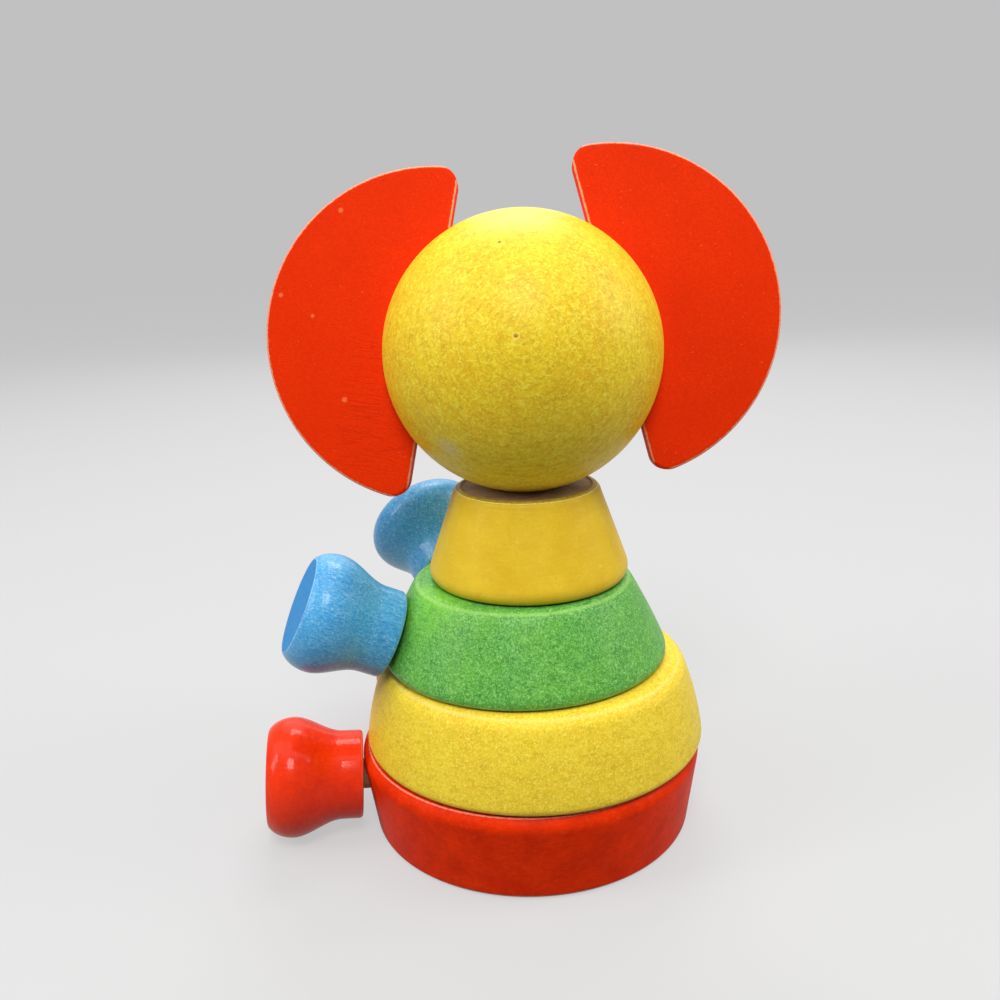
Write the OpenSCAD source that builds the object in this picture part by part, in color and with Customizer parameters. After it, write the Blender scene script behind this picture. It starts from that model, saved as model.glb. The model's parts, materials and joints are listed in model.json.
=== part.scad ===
// Wooden stacking puzzle: a sitting animal built from turned rings on a rod.
// Origin: centre of the base disc's underside, on the rod's axis. +Z up, the
// feet point to the front, -Y, and so do the arms, but for the green ring's
// small turn. At rest the head is turned on the rod.

/* [Base disc] */
// Radius of the side at the underside, before its edge is rounded
base_low_r = 43.1; // [41:0.1:46]
// Radius of the side at the top face, before its edge is rounded
base_high_r = 46.6; // [44:0.1:49]
// Height
base_h = 23.7; // [22:0.1:28]
// Rounding of the lower edge
base_low_edge = 1.7; // [1:0.1:5]
// Rounding of the upper edge
base_high_edge = 4; // [1:0.5:6]

/* [Yellow ring] */
// Radius of the side at the underside
yellow_low_r = 45.9; // [43:0.1:50]
// Radius of the side at the top face
yellow_high_r = 39.8; // [37:0.1:44]
// Height
yellow_h = 23.2; // [18:0.1:30]
// Rounding of the lower edge
yellow_low_edge = 2.4; // [1:0.1:5]
// Rounding of the upper edge
yellow_high_edge = 3.3; // [1:0.1:6]
// How far the middle of the side bulges out
yellow_crown = 0.9; // [0:0.1:2]
// How far the ring sits off the rod's axis, in its loose bore
yellow_shift = 1.3; // [0:0.1:1.7]

/* [Green ring] */
// Radius of the side at the underside
green_low_r = 38.9; // [36:0.1:42]
// Radius of the side at the top face
green_high_r = 28.4; // [27:0.1:32]
// Height
green_h = 21.8; // [21:0.1:27]
// Rounding of the lower edge
green_low_edge = 3.4; // [1:0.1:4]
// Rounding of the upper edge
green_high_edge = 1.9; // [1:0.1:4]
// How far the middle of the side bulges out
green_crown = 0.5; // [0:0.1:2]
// How far the ring sits off the rod's axis, the other way
green_shift = 0.7; // [0:0.1:1.7]
// Turn of the ring, with its arms, on the rod
green_turn = 1.8; // [-180:0.1:180]

/* [Neck cone] */
// Radius of the side at the underside
cone_low_r = 27.4; // [24:0.1:29]
// Radius of the side at the top face
cone_high_r = 18.7; // [17:0.1:22]
// Height
cone_h = 24.7; // [18:0.1:30]
// Rounding of the lower edge
cone_low_edge = 4.4; // [1:0.1:6]
// Rounding of the upper edge
cone_high_edge = 1.4; // [0.6:0.1:2]
// How far the cone sits off the rod's axis, in its loose bore
cone_shift = 1.1; // [0:0.1:1.7]
// Width of the flat rim round the dish in the cone's top
dish_rim = 0.3; // [0.2:0.1:1]
// Depth of the dish in the cone's top
dish_depth = 0.4; // [0.2:0.1:1]

/* [Head] */
// Radius of the ball
ball_r = 35; // [32:0.5:38]
// Turn of the head on the rod, from facing the front
head_turn = -65.7; // [-180:0.1:180]
// How far the face looks down
head_nod = 12.8; // [0:0.1:20]
// Gap between the dish in the cone's top and the mouth of the ball's bore
ball_seat_gap = 0.25; // [0.2:0.05:0.5]
// How far the ball sits off the rod's axis, in its loose bore
head_shift = 1.3; // [0:0.1:1.7]
// Radius of the centre mark that the lathe left in the back of the ball
mark_r = 0.7; // [0.4:0.1:1.2]
// Angle of that mark to the side of the back's middle
mark_side = 2.7; // [-10:0.1:10]

/* [Ears] */
// Radius of the half disc that an ear is sawn from
ear_r = 41.6; // [38:0.1:45]
// Thickness of the board
ear_t = 6; // [4:0.5:8]
// Radius of the ear's two corners
ear_corner_r = 4.5; // [2:0.5:8]
// Distance of the left ear's straight edge from the ball's centre
left_ear_seat = 22.6; // [20:0.1:28]
// Distance of the right ear's straight edge from the ball's centre
right_ear_seat = 23.9; // [20:0.1:28]
// How far the left ear points up
left_ear_rise = 11.2; // [0:0.1:25]
// How far the right ear points up
right_ear_rise = 13.5; // [0:0.1:25]
// How far the left ear is slid up in its slot
left_ear_slide = 0.3; // [0:0.1:5]
// How far the right ear is slid up in its slot
right_ear_slide = 3.3; // [0:0.1:5]

/* [Face] */
// Length of the trunk
trunk_l = 26; // [18:1:32]
// Radius of the trunk next to the head
trunk_neck_r = 6.4; // [6:0.1:8]
// Radius of the trunk's flared end
trunk_end_r = 8.6; // [8:0.1:12]
// Radius of the flat face at the trunk's end
trunk_face_r = 6.6; // [4:0.1:7.5]
// Depth of the dowel in the head and in the trunk
trunk_dowel_depth = 10; // [7:0.5:11]
// Radius of the trunk's dowel
trunk_dowel_r = 3; // [2:0.1:4]
// Radius of an eye
eye_r = 3.2; // [2:0.1:4.5]
// How far an eye stands out of the head
eye_rise = 1.6; // [1:0.1:2.5]
// How far an eye's rim is let into the head's curve
eye_sink = 0.5; // [0.4:0.1:0.8]
// Radius of the spigot behind an eye
eye_spigot_r = 1.5; // [1:0.1:1.8]
// Length of the spigot behind an eye
eye_spigot_l = 5; // [3:0.5:8]
// Angle of an eye to the side of the face's middle
eye_side = 24; // [15:1:35]
// Angle of an eye above the trunk
eye_up = 26; // [22:1:40]

/* [Feet] */
// Angle between the front and each foot
foot_spread = 33.4; // [28:0.1:45]
// Length of a foot
foot_l = 25.2; // [22:0.1:30]
// Radius of a foot's neck
foot_neck_r = 11.7; // [10:0.1:12.4]
// Radius of a foot's flared end
foot_end_r = 15.8; // [14:0.1:15.9]
// Height of the foot's hole in the side of the base
foot_z = 14.7; // [14.6:0.1:16.5]
// How far a foot points up
foot_tilt = 4.1; // [4:0.1:8]
// Gap between a foot's neck and the nearest ring
foot_gap = 0.3; // [0.3:0.1:3]
// Depth of the foot's hole in the base
foot_hole_depth = 20; // [14:0.5:22]

/* [Arms] */
// Angle between the green ring's front and each arm
arm_spread = 35; // [30:0.1:45]
// Length of an arm
arm_l = 25.4; // [23:0.1:31]
// Radius of an arm's neck
arm_neck_r = 11.6; // [10:0.1:12.4]
// Radius of the left arm's flared end
left_arm_end_r = 15.6; // [15:0.1:17]
// Radius of the right arm's flared end
right_arm_end_r = 17.4; // [15:0.1:18]
// Height of the left arm's hole above the green ring's underside
left_arm_z = 8.5; // [8:0.1:9.5]
// Height of the right arm's hole above the green ring's underside
right_arm_z = 10; // [9:0.1:10.5]
// How far the left arm points up
left_arm_tilt = 25.5; // [20:0.5:28]
// How far the right arm points up
right_arm_tilt = 33; // [24:0.5:34]
// Gap between the left arm's neck and the green ring
left_arm_gap = 0.5; // [0.3:0.1:4]
// Gap between the right arm's neck and the green ring
right_arm_gap = 2.6; // [0.3:0.1:4]
// Depth of the arm's hole in the green ring
arm_hole_depth = 7; // [5:0.1:7.2]

/* [Limbs] */
// Radius of the dowel that carries a foot or an arm
dowel_r = 4; // [3:0.1:4.2]
// Depth of the dowel's hole in a foot or an arm
limb_hole_depth = 15; // [10:0.5:18]
// Where the flare begins, as a share of the limb's length
flare_from = 0.22; // [0.15:0.01:0.35]
// Where the flare is full, as a share of the limb's length
flare_to = 0.73; // [0.6:0.01:0.78]
// Radius of the flat face at a limb's end
limb_face_r = 12.6; // [9:0.1:13.5]
// Turn of the rounding that leads to that face
limb_edge_turn = 65; // [45:1:80]
// Rounding of the neck's inner edge
neck_edge = 1; // [0.3:0.1:1.5]

/* [Rod] */
// Radius of the rod
rod_r = 6; // [5:0.1:6.2]
// Thickness of wood under the rod's socket
socket_floor = 8; // [5:0.5:12]
// Radius of the loose bores in the rings, the cone and the head
bore_r = 8; // [7.9:0.1:9]
// How far the rod reaches into the head
rod_in_head = 37; // [25:0.5:40]
// Chamfer of the rod's top
rod_chamfer = 1.2; // [0.5:0.1:2]

/* [Clearances] */
// Radial clearance of a dowel in the hole that it turns or slides in
turn_gap = 0.05; // [0.02:0.01:0.1]
// Space left past the end of a dowel or the rod
end_gap = 0.5; // [0.2:0.1:1]
// Clearance round a piece that is glued in
glue_gap = 0.1; // [0.05:0.01:0.2]

/* [Hidden] */
$fn = 96;
left = 1;
right = -1;
front = -90;
shift_way = 113.7;
through = 1;
flare_steps = 10;
side_steps = 8;
edge_steps = 6;

yellow_z = base_h;
green_z = yellow_z + yellow_h;
cone_z = green_z + green_h;
cone_top = cone_z + cone_h;
ball_z = cone_top - dish_depth + ball_seat_gap + sqrt(ball_r * ball_r - bore_r * bore_r);
rod_top = ball_z - ball_r + rod_in_head;

// Radius of a ring's side at height z: straight, with a bulge in the middle
function side_at(low_r, high_r, h, crown, z) =
    low_r + (high_r - low_r) * z / h + crown * 4 * (z / h) * (1 - z / h);
function base_side(z) = side_at(base_low_r, base_high_r, base_h, 0, z);
function green_side(z) = side_at(green_low_r, green_high_r, green_h, green_crown, z);
function smooth(u) = u * u * (3 - 2 * u);

// Directions of the feet and the arms, seen from above
function foot_way(side) = front + side * foot_spread;
function arm_way(side) = front + green_turn + side * arm_spread;

// Reach of a ring slipped by d, in the direction of a foot or an arm
function slipped_reach(r, d, way) = r + d * cos(way - shift_way);

// How far a foot's neck face stands off the base's side: clear of the base's
// widest part, and of the yellow ring that the neck's rim rises in front of
base_edge_z = base_h - base_high_edge;
function foot_off(side) = foot_gap - base_side(foot_z) + max(
    base_side(base_edge_z) + (base_edge_z - foot_z) * tan(foot_tilt),
    slipped_reach(yellow_low_r, yellow_shift, foot_way(side)) + foot_neck_r * sin(foot_tilt));

// How far an arm's neck face stands off the green ring's side: its rim leans
// in where the arm is steeper than the side, and hangs in front of the yellow ring
green_slope = atan((green_low_r - green_high_r) / green_h);
function arm_z(side) = side == left ? left_arm_z : right_arm_z;
function arm_tilt(side) = side == left ? left_arm_tilt : right_arm_tilt;
function arm_off(side) = (side == left ? left_arm_gap : right_arm_gap) + max(
    arm_neck_r * abs(sin(arm_tilt(side) - green_slope)),
    slipped_reach(yellow_high_r + yellow_crown, yellow_shift + green_shift, arm_way(side))
        - green_side(arm_z(side)) - arm_neck_r * sin(arm_tilt(side)));

// Outline of half a turned ring, both of its edges rounded
function ring_outline(low_r, high_r, h, low_edge, high_edge, crown) = concat(
    [[0, 0]],
    [for (i = [0 : edge_steps]) let (a = 90 * i / edge_steps, z = low_edge * (1 - cos(a)))
        [side_at(low_r, high_r, h, crown, z) - low_edge * (1 - sin(a)), z]],
    [for (i = [1 : side_steps - 1])
        let (z = low_edge + (h - low_edge - high_edge) * i / side_steps)
        [side_at(low_r, high_r, h, crown, z), z]],
    [for (i = [0 : edge_steps]) let (a = 90 * i / edge_steps, z = h - high_edge * (1 - sin(a)))
        [side_at(low_r, high_r, h, crown, z) - high_edge * (1 - cos(a)), z]],
    [[0, h]]
);

// Outline of half a flared limb: rounded inner edge, neck, flare, rounding, flat face
function limb_outline(l, neck_r, end_r, face_r) = concat(
    [[0, 0]],
    [for (i = [0 : edge_steps]) let (a = 90 * i / edge_steps)
        [neck_r - neck_edge * (1 - sin(a)), neck_edge * (1 - cos(a))]],
    [for (i = [0 : flare_steps]) let (u = i / flare_steps)
        [neck_r + (end_r - neck_r) * smooth(u), l * (flare_from + (flare_to - flare_from) * u)]],
    [for (i = [1 : edge_steps]) let (a = limb_edge_turn * i / edge_steps)
        [end_r - (end_r - face_r) * (1 - cos(a)) / (1 - cos(limb_edge_turn)),
         l * (flare_to + (1 - flare_to) * sin(a) / sin(limb_edge_turn))]],
    [[0, l]]
);

// Moves along the way that the loose rings have slipped on the rod
module slipped(d) { translate([d * cos(shift_way), d * sin(shift_way), 0]) children(); }

// Stands what is drawn along +Z on the side of a ring, along the limb's tilted axis
module on_side(way, r, z, tilt) {
    rotate([0, 0, way]) translate([r, 0, z]) rotate([0, 90 - tilt, 0]) children();
}

module at_foot(side) { on_side(foot_way(side), base_side(foot_z), foot_z, foot_tilt) children(); }

module at_arm(side) {
    slipped(-green_shift) translate([0, 0, green_z])
        on_side(arm_way(side), green_side(arm_z(side)), arm_z(side), arm_tilt(side)) children();
}

module turned(low_r, high_r, h, low_edge, high_edge, crown) {
    rotate_extrude() polygon(ring_outline(low_r, high_r, h, low_edge, high_edge, crown));
}

module limb(l, neck_r, end_r, off) {
    translate([0, 0, off]) difference() {
        rotate_extrude() polygon(limb_outline(l, neck_r, end_r, limb_face_r));
        translate([0, 0, -through]) cylinder(r = dowel_r + turn_gap, h = limb_hole_depth + through);
    }
}

// Hole for a limb's dowel, from outside the ring to its depth
module dowel_hole(depth) {
    translate([0, 0, -depth]) cylinder(r = dowel_r + turn_gap, h = 2 * depth);
}

module dowel(depth, off) {
    translate([0, 0, end_gap - depth])
        cylinder(r = dowel_r, h = depth + off + limb_hole_depth - 2 * end_gap);
}

// Frame of the head: origin at the ball's centre, face to -Y, upright
module in_head() {
    slipped(head_shift) translate([0, 0, ball_z]) rotate([0, 0, head_turn]) children();
}

// Frame of the face's middle, outwards along +Z, at an angle to the side and up
module on_face(side_angle, up_angle) {
    rotate([head_nod - up_angle, 0, side_angle]) rotate([90, 0, 0]) children();
}

// Ear's own frame: X out from the ball's centre, Z through the board, which
// leans forwards with the face's nod
module in_ear_plane(side) {
    rise = side == left ? left_ear_rise : right_ear_rise;
    rotate([90 + head_nod, 0, 0]) rotate([0, 0, side == left ? rise : 180 - rise]) children();
}

function ear_seat(side) = side == left ? left_ear_seat : right_ear_seat;

module ear_outline() {
    corner_y = sqrt(pow(ear_r - ear_corner_r, 2) - pow(ear_corner_r, 2));
    reach = 2 * ear_r;
    intersection() {
        circle(r = ear_r);
        polygon([[0, 0], [ear_corner_r, -corner_y] * reach / ear_r, [reach, -corner_y],
                 [reach, corner_y], [ear_corner_r, corner_y] * reach / ear_r]);
    }
    translate([0, -corner_y]) square([ear_corner_r, 2 * corner_y]);
    for (s = [-1, 1]) translate([ear_corner_r, s * corner_y]) circle(r = ear_corner_r);
}

module ear(side) {
    slide = side == left ? left_ear_slide : right_ear_slide;
    in_head() in_ear_plane(side) translate([ear_seat(side), side * slide, -ear_t / 2])
        linear_extrude(ear_t) ear_outline();
}

// Slot sawn in the side of the ball for an ear
module ear_slot(side) {
    in_ear_plane(side) translate([ear_seat(side) - glue_gap, -ball_r, -ear_t / 2 - glue_gap])
        cube([ball_r, 2 * ball_r, ear_t + 2 * glue_gap]);
}

module base_disc() {
    color("red") difference() {
        turned(base_low_r, base_high_r, base_h, base_low_edge, base_high_edge, 0);
        translate([0, 0, socket_floor]) cylinder(r = rod_r + glue_gap, h = base_h);
        for (side = [left, right]) at_foot(side) dowel_hole(foot_hole_depth);
    }
}

module centre_rod() {
    color("burlywood") rotate_extrude() polygon([
        [0, socket_floor], [rod_r, socket_floor],
        [rod_r, rod_top - rod_chamfer], [rod_r - rod_chamfer, rod_top], [0, rod_top]]);
}

module yellow_ring() {
    color("gold") slipped(yellow_shift) translate([0, 0, yellow_z]) difference() {
        turned(yellow_low_r, yellow_high_r, yellow_h, yellow_low_edge, yellow_high_edge, yellow_crown);
        translate([0, 0, -through]) cylinder(r = bore_r, h = yellow_h + 2 * through);
    }
}

module green_ring() {
    color("green") difference() {
        slipped(-green_shift) translate([0, 0, green_z])
            turned(green_low_r, green_high_r, green_h, green_low_edge, green_high_edge, green_crown);
        slipped(-green_shift) translate([0, 0, green_z - through])
            cylinder(r = bore_r, h = green_h + 2 * through);
        for (side = [left, right]) at_arm(side) dowel_hole(arm_hole_depth);
    }
}

module neck_cone() {
    color("goldenrod") slipped(cone_shift) translate([0, 0, cone_z]) difference() {
        turned(cone_low_r, cone_high_r, cone_h, cone_low_edge, cone_high_edge, 0);
        translate([0, 0, -through]) cylinder(r = bore_r, h = cone_h + 2 * through);
        translate([0, 0, cone_h - dish_depth])
            cylinder(r = cone_high_r - cone_high_edge - dish_rim, h = 2 * dish_depth);
    }
}

module head_ball() {
    color("yellow") in_head() difference() {
        sphere(r = ball_r);
        translate([0, 0, -ball_r - through])
            cylinder(r = bore_r, h = rod_in_head + end_gap + through);
        for (side = [left, right]) ear_slot(side);
        on_face(0, 0) translate([0, 0, ball_r - trunk_dowel_depth])
            cylinder(r = trunk_dowel_r + glue_gap, h = 2 * trunk_dowel_depth);
        for (side = [left, right]) on_face(side * eye_side, eye_up)
            translate([0, 0, ball_r - eye_spigot_l]) cylinder(r = eye_spigot_r + glue_gap, h = ball_r);
        on_face(180 - mark_side, 2 * head_nod) translate([0, 0, ball_r - mark_r])
            cylinder(r = mark_r, h = 2 * mark_r);
    }
}

module left_ear() { color("orangered") ear(left); }
module right_ear() { color("orangered") ear(right); }

// The trunk's inner end is hollowed to sit on the ball
module trunk() {
    color("gold") in_head() on_face(0, 0) difference() {
        translate([0, 0, ball_r - through]) rotate_extrude()
            polygon(limb_outline(trunk_l + through, trunk_neck_r, trunk_end_r, trunk_face_r));
        sphere(r = ball_r + glue_gap);
        translate([0, 0, ball_r - through])
            cylinder(r = trunk_dowel_r + glue_gap, h = trunk_dowel_depth + through);
    }
}

module trunk_dowel() {
    color("burlywood") in_head() on_face(0, 0) translate([0, 0, ball_r - trunk_dowel_depth + end_gap])
        cylinder(r = trunk_dowel_r, h = 2 * (trunk_dowel_depth - end_gap));
}

// A domed button, hollowed to sit on the ball, on a spigot
module eye(side) {
    color("black") in_head() on_face(side * eye_side, eye_up) {
        difference() {
            translate([0, 0, ball_r - eye_sink]) scale([1, 1, (eye_rise + eye_sink) / eye_r])
                intersection() {
                    sphere(r = eye_r);
                    translate([-eye_r, -eye_r, 0]) cube(2 * eye_r);
                }
            sphere(r = ball_r + glue_gap);
        }
        translate([0, 0, ball_r - eye_spigot_l + end_gap]) cylinder(r = eye_spigot_r, h = eye_spigot_l);
    }
}

module left_eye() { eye(left); }
module right_eye() { eye(right); }

module foot(side) { color("red") at_foot(side) limb(foot_l, foot_neck_r, foot_end_r, foot_off(side)); }
module left_foot() { foot(left); }
module right_foot() { foot(right); }

module foot_dowel(side) { color("tan") at_foot(side) dowel(foot_hole_depth, foot_off(side)); }
module left_foot_dowel() { foot_dowel(left); }
module right_foot_dowel() { foot_dowel(right); }

module arm(side) {
    end_r = side == left ? left_arm_end_r : right_arm_end_r;
    color("deepskyblue") at_arm(side) limb(arm_l, arm_neck_r, end_r, arm_off(side));
}
module left_arm() { arm(left); }
module right_arm() { arm(right); }

module arm_dowel(side) { color("tan") at_arm(side) dowel(arm_hole_depth, arm_off(side)); }
module left_arm_dowel() { arm_dowel(left); }
module right_arm_dowel() { arm_dowel(right); }

base_disc();
centre_rod();
yellow_ring();
green_ring();
neck_cone();
head_ball();
left_ear();
right_ear();
trunk();
trunk_dowel();
left_eye();
right_eye();
left_foot();
right_foot();
left_foot_dowel();
right_foot_dowel();
left_arm();
right_arm();
left_arm_dowel();
right_arm_dowel();
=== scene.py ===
"""Looks of the wooden stacking puzzle: turned and painted pieces on a rod.

Every piece is built in its own frame in millimetres, and placed by the frame's
boxes and joint axes. Each keeps its own coordinates in the attribute "own", which
the grain, flecks and marks of its finish follow.
"""

import json
import math

import bmesh
import bpy
from mathutils import Matrix, Vector


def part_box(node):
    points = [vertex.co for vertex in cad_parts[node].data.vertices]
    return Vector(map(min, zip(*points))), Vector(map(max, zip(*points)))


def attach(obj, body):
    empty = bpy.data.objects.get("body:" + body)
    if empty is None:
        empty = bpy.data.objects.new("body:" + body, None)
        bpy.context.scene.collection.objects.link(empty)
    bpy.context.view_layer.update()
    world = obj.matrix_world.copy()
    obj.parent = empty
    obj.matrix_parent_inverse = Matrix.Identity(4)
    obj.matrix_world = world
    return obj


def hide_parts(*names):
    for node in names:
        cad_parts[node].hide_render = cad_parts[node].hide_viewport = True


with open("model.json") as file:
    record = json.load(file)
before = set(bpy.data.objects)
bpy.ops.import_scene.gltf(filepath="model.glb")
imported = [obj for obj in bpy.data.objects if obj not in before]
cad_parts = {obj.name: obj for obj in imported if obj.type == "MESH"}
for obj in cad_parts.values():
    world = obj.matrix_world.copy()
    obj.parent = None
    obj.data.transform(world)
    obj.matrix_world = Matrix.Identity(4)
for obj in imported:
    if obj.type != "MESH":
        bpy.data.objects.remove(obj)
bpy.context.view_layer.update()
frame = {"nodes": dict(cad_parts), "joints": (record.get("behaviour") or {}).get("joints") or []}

MM = 0.001

# Steps of a full turn, of a small rounding and of a long side
SEGMENTS = 224
ARC_STEPS = 10
SIDE_STEPS = 24

# Radius below which an outline's point lies on the axis, how far a cutter reaches past
# a surface, and the angle in degrees past which an edge is shaded sharp
ON_AXIS = 1e-6
CLEAR = 1.0
SHARP_ANGLE = 32

# Typical radius of the turned pieces, and the scale of X and Y that draws their
# turning lines out around them
TURNED_R = 36.0
DRAWN_OUT = 0.16

# Height of the painted shade at the foot of a ring, where it meets what it stands on, and how strong it
# is
PAINTED_SHADE_HEIGHT = 0.8
PAINTED_SHADE_STRENGTH = 0.9

# Sides of the turned rings: radii below and above, roundings, bulge
RING_SHAPES = {
    "base_disc": dict(low_r=43.1, high_r=46.6, low_edge=1.7, high_edge=4.0, crown=0.0),
    "yellow_ring": dict(low_r=45.9, high_r=39.8, low_edge=2.4, high_edge=3.3, crown=0.9),
    "green_ring": dict(low_r=38.9, high_r=28.4, low_edge=3.4, high_edge=1.9, crown=0.5),
    "neck_cone": dict(low_r=27.4, high_r=18.7, low_edge=4.4, high_edge=1.4, crown=0.0),
}
BORE_R = 8.0
BORE_CHAMFER = 0.5
ROD_R = 6.0
ROD_CHAMFER = 1.2
SOCKET_FLOOR = 8.0
GLUE_GAP = 0.1
RUN_GAP = 0.05

# Unpainted dish in the top of the cone: its radius and depth, how far its broken edge
# reaches out and down, and how far its wall leans in
RECESS_R = 17.0
RECESS_DEPTH = 0.4
RECESS_BREAK_OUT = 0.25
RECESS_BREAK_DOWN = 0.2
RECESS_LEAN = 0.15

# Feet and arms: the depths of the holes for their dowels, and shares of the length
# between which they flare
DOWEL_R = 4.0
DOWEL_CHAMFER = 0.5
DOWEL_HOLES = {"foot": 20.0, "arm": 7.0}
LIMB_HOLE = 15.0
FLARE_FROM = 0.22
FLARE_TO = 0.73
LIMB_NECK_R = {"foot": 11.7, "arm": 11.6}
LIMB_FACE_R = 12.6
LIMB_EDGE_TURN = 65.0
NECK_EDGE = 1.0

# Fillet of a limb's flat end, and its points: how far out from the flat end's radius
# and down from its plane, in shares of the fillet
RIM_FILLET = 0.35
RIM_POINTS = ((0.3, 0.5), (-0.4, 0.1), (-1.0, 0.0), (-3.0, 0.0))

BALL_R = 35.0
BALL_STEPS = 150
ROD_IN_HEAD = 37.5

# Share of the ball's radius, from the top, that is used to find its centre
CROWN_SHARE = 0.2

# Lathe's centre mark in the back of the ball: PINHOLE_SIDE is in degrees
PINHOLE_R = 0.55
PINHOLE_TAPER = 0.7
PINHOLE_DEPTH = 1.2
PINHOLE_SIDE = 2.7

# Ears: half discs of board, each with the place of its straight edge in the ball in
# millimetres, its rise in degrees and its side of the head
EAR_R = 41.6
EAR_T = 6.0
EAR_CORNER_R = 4.5
EAR_EDGE = 0.8
EAR_ARC_STEPS = 110
EAR_RIM_STEPS = 6
EAR_PLACES = {
    "left": dict(seat=22.6, rise=11.2, slide=0.3, side=1),
    "right": dict(seat=23.9, rise=13.5, slide=3.3, side=-1),
}

# Lines on an ear's flat faces, by how far they lie inside its rounded rim
EAR_FACE_LINES = (3.0, 1.6, 0.8, 0.35)

TRUNK_NECK_R = 6.4
TRUNK_END_R = 8.6
TRUNK_FACE_R = 6.6
TRUNK_L = 26.0
TRUNK_DOWEL_R = 3.0
TRUNK_DOWEL_DEPTH = 10.0

# Eyes: EYE_SIDE and EYE_UP are degrees from the middle of the face
EYE_R = 3.2
EYE_RISE = 1.6
EYE_SINK = 0.5
EYE_LIP = 0.05
EYE_SPIGOT_R = 1.5
EYE_SPIGOT_L = 5.0
EYE_SPIGOT_GAP = 0.5
EYE_SIDE = 24.0
EYE_UP = 26.0

# Points of a ring's side in the middle of its lower and its upper rounding, and how many steps before
# the ends of the roundings the base's pale lines lie: wear, and on the upper rounding partly a painted
# highlight
LOW_MIDDLE = ARC_STEPS // 2
HIGH_MIDDLE = -1 - ARC_STEPS // 2
BASE_PALE_LINE_STEPS = 3

# Widths of the worn bands, and the share of an ear's rounding at which its band lies. The band on a
# ring's upper rounding is partly wear and partly a painted highlight
WEAR = dict(
    # Pale lines on the base: wear, and on the upper rounding partly a painted highlight
    base=0.5,
    ring_low=0.6,
    ring_high_wear_and_highlight=1.0,
    cone_low=0.7,
    cone_high=0.32,
    limb_neck=0.6,
    limb_rim=0.45,
    trunk_rim=0.6,
    ear=0.6,
)
EAR_RUB = 0.3

# Wear shows where the wear attribute, plus this share of a noise, passes these levels
PATCHINESS = 0.8
WORN_LEVELS = (1.0, 1.35)

COAT_ROUGHNESS = 0.12


def arc(centre_r, centre_z, radius, start, end, steps=ARC_STEPS):
    """Points of an arc in the half plane of a lathe outline, angles in degrees."""
    points = []
    for i in range(steps + 1):
        a = math.radians(start + (end - start) * i / steps)
        points.append((centre_r + radius * math.cos(a), centre_z + radius * math.sin(a)))
    return points


def side_radius(shape, height, z):
    """Radius of a ring's tapered and slightly bulging side at a height."""
    share = z / height
    bulge = 4 * shape["crown"] * share * (1 - share)
    return shape["low_r"] + (shape["high_r"] - shape["low_r"]) * share + bulge


def ring_side(shape, height):
    """Outer outline of a turned ring, from its underside to its top face."""
    low, high = shape["low_edge"], shape["high_edge"]
    points = []
    for i in range(ARC_STEPS + 1):
        a = math.radians(90 * i / ARC_STEPS)
        z = low * (1 - math.cos(a))
        points.append((side_radius(shape, height, z) - low * (1 - math.sin(a)), z))
    for i in range(1, SIDE_STEPS):
        z = low + (height - low - high) * i / SIDE_STEPS
        points.append((side_radius(shape, height, z), z))
    for i in range(ARC_STEPS + 1):
        a = math.radians(90 * i / ARC_STEPS)
        z = height - high * (1 - math.sin(a))
        points.append((side_radius(shape, height, z) - high * (1 - math.cos(a)), z))
    return points


def bore(top):
    """Outline of a bore from its top down to height 0, with broken mouths."""
    return [
        (BORE_R + BORE_CHAMFER, top),
        (BORE_R, top - BORE_CHAMFER),
        (BORE_R, BORE_CHAMFER),
        (BORE_R + BORE_CHAMFER, 0),
    ]


def smooth(u):
    """Eases a share from 0 to 1."""
    return u * u * (3 - 2 * u)


def limb_side(length, neck_r, end_r, face_r):
    """Outer outline of a flared limb, from its neck's face to its flat end."""
    points = arc(neck_r - NECK_EDGE, NECK_EDGE, NECK_EDGE, -90, 0)
    for i in range(SIDE_STEPS + 1):
        u = i / SIDE_STEPS
        z = length * (FLARE_FROM + (FLARE_TO - FLARE_FROM) * u)
        points.append((neck_r + (end_r - neck_r) * smooth(u), z))
    turn = math.radians(LIMB_EDGE_TURN)
    for i in range(1, SIDE_STEPS):
        a = turn * i / SIDE_STEPS
        r = end_r - (end_r - face_r) * (1 - math.cos(a)) / (1 - math.cos(turn))
        z = length * (FLARE_TO + (1 - FLARE_TO) * math.sin(a) / math.sin(turn))
        points.append((r, z))
    for out, down in RIM_POINTS:
        points.append((face_r + out * RIM_FILLET, length - down * RIM_FILLET))
    return points


def hollow(radius, start_r, end_r):
    """Outline of an inner end hollowed to sit on a ball of that radius."""
    points = []
    for i in range(ARC_STEPS + 1):
        r = start_r + (end_r - start_r) * i / ARC_STEPS
        points.append((r, math.sqrt(radius**2 - r**2)))
    return points


def placed(name, work, place):
    """Object of a bmesh that was built in its own millimetres, placed in the row's frame."""
    mesh = bpy.data.meshes.new(name)
    work.to_mesh(mesh)
    work.free()
    mesh.transform(place)
    piece = bpy.data.objects.new(name, mesh)
    bpy.context.scene.collection.objects.link(piece)
    return piece


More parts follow.
